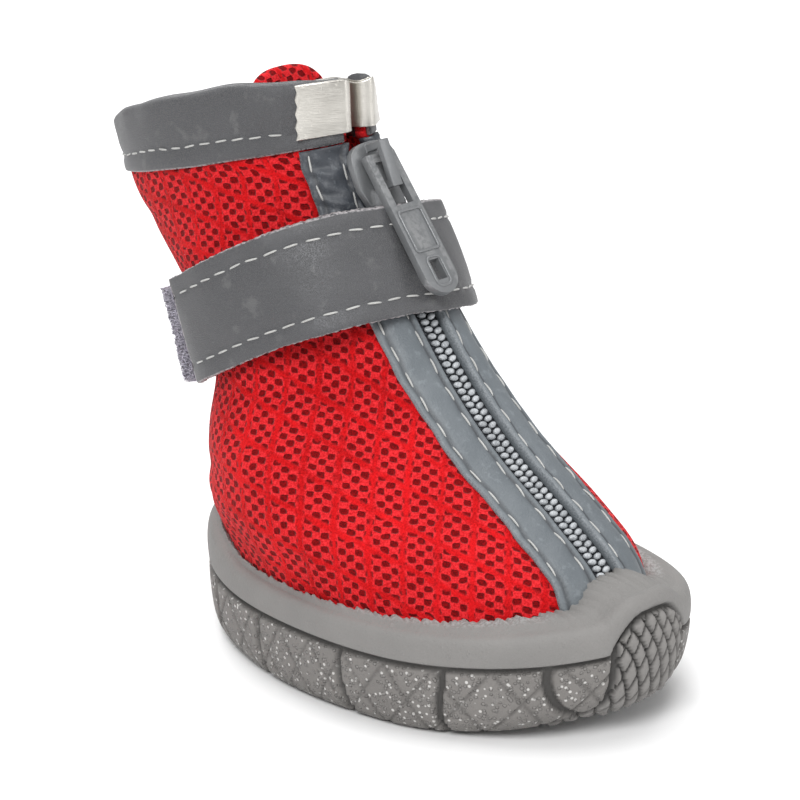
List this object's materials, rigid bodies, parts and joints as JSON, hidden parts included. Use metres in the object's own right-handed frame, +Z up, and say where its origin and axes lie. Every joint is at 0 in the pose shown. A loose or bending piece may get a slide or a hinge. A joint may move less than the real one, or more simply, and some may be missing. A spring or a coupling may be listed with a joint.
{
  "type": "dog boot",
  "caption": "Soft dog boot with a rugged rubber sole, a mesh upper closed by a front zip with a hinged pull tab, and a wrap-round closing strap.",
  "frame": {"origin": "middle of the outsole's underside, on the plane the boot stands on", "axes": "+Z up, -Y towards the toe, +Y towards the heel, +X to the wearer's left"},
  "size_m": [0.0574, 0.1152, 0.0911],
  "materials": {
    "rubber": "matt moulded gray rubber with a pebbled tread",
    "foam": "fabric-faced foam insole",
    "mesh_red": "red air mesh with clusters of small round holes",
    "reflective_gray": "smooth gray reflective tape, stitched",
    "facing_gray": "smooth gray coated facing, stitched with white thread",
    "coil_gray": "moulded gray coil on woven tape",
    "painted_metal": "satin gray paint on die-cast metal",
    "nickel": "satin nickel plate",
    "loop_tape": "fuzzy loop side of a touch fastener",
    "thread": "white sewing thread"
  },
  "bodies": {
    "boot": {"outsole": "rubber", "insole": "foam", "upper": "mesh_red", "tongue": "mesh_red", "collar_band": "reflective_gray", "clip_right": "nickel", "clip_left": "nickel", "zip_facing_right": "facing_gray", "zip_facing_left": "facing_gray", "zip_chain": "coil_gray", "zip_slider": "painted_metal", "strap": "reflective_gray", "strap_loop_tape": "loop_tape"},
    "pull": {"pull_tab": "painted_metal"}
  },
  "joints": [
    {"name": "pull_swing", "type": "hinge", "parent": "boot", "child": "pull", "pos_m": [0, 0.01396, 0.07851], "axis": [-1, 0, 0], "range_deg": [0, 140]}
  ]
}
